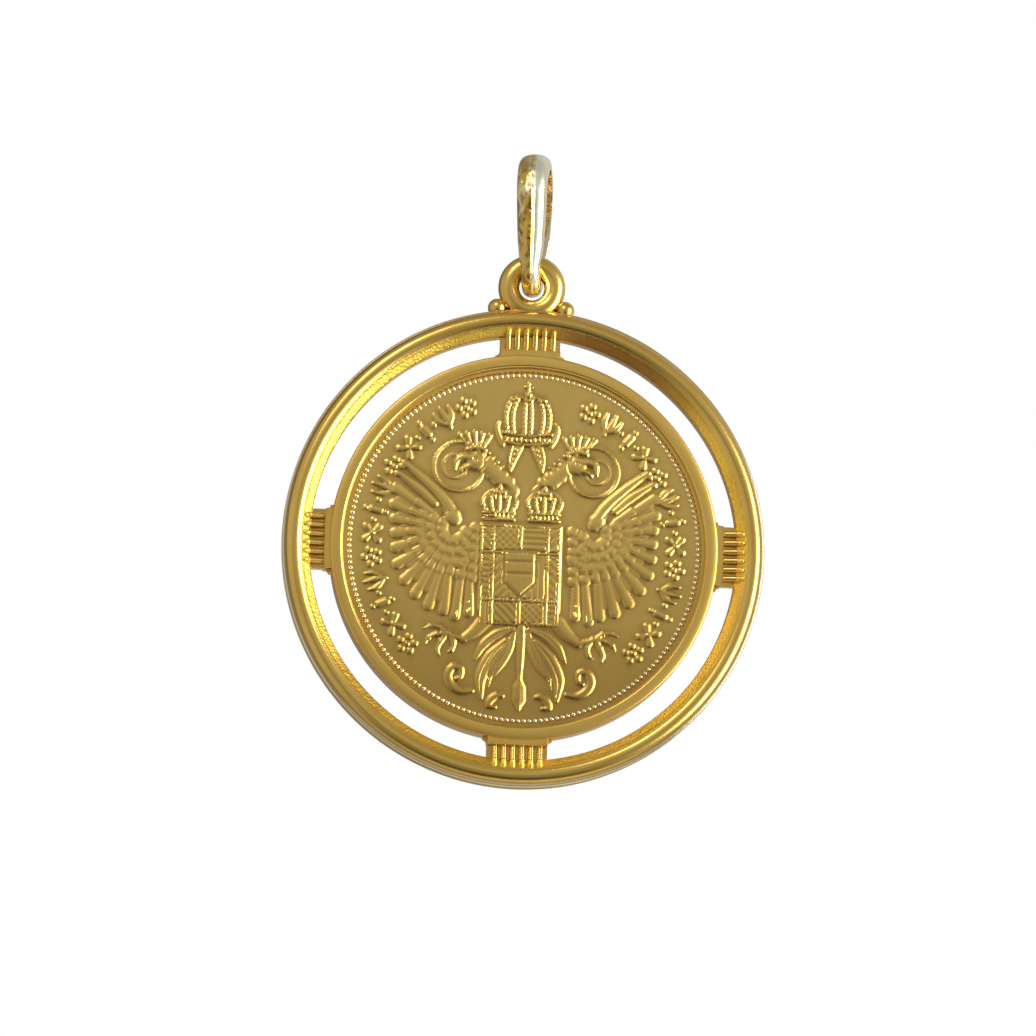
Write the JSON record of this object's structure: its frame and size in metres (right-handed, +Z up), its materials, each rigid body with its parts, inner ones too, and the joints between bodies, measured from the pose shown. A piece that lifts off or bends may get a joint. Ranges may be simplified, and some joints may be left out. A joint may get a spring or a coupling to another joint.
{
  "type": "coin pendant",
  "caption": "Round coin pendant: a struck coin with a raised eagle design set in an openwork ring frame with ridged bridges, hanging from a half-round bail for a chain.",
  "frame": {"origin": "where a chain bears, at the inside top of the bail's loop, in the middle of the band", "axes": "+Z up as the pendant hangs, the coin's face looks along -Y, +X to the right of a viewer who faces the coin"},
  "size_m": [0.03, 0.0054, 0.04],
  "materials": {
    "frame_gold": "polished yellow gold with a sandy inner flank",
    "coin_gold": "struck yellow gold, satin field",
    "bail_gold": "polished pale yellow gold with small wear marks"
  },
  "bodies": {
    "bail": {"bail": "bail_gold"},
    "pendant": {"frame": "frame_gold", "coin": "coin_gold"}
  },
  "joints": [
    {"name": "pendant_swing", "type": "hinge", "parent": "bail", "child": "pendant", "pos_m": [0, 0, -0.00607], "axis": [0.9848, -0.1736, 0], "range_deg": [-90, 90]}
  ]
}
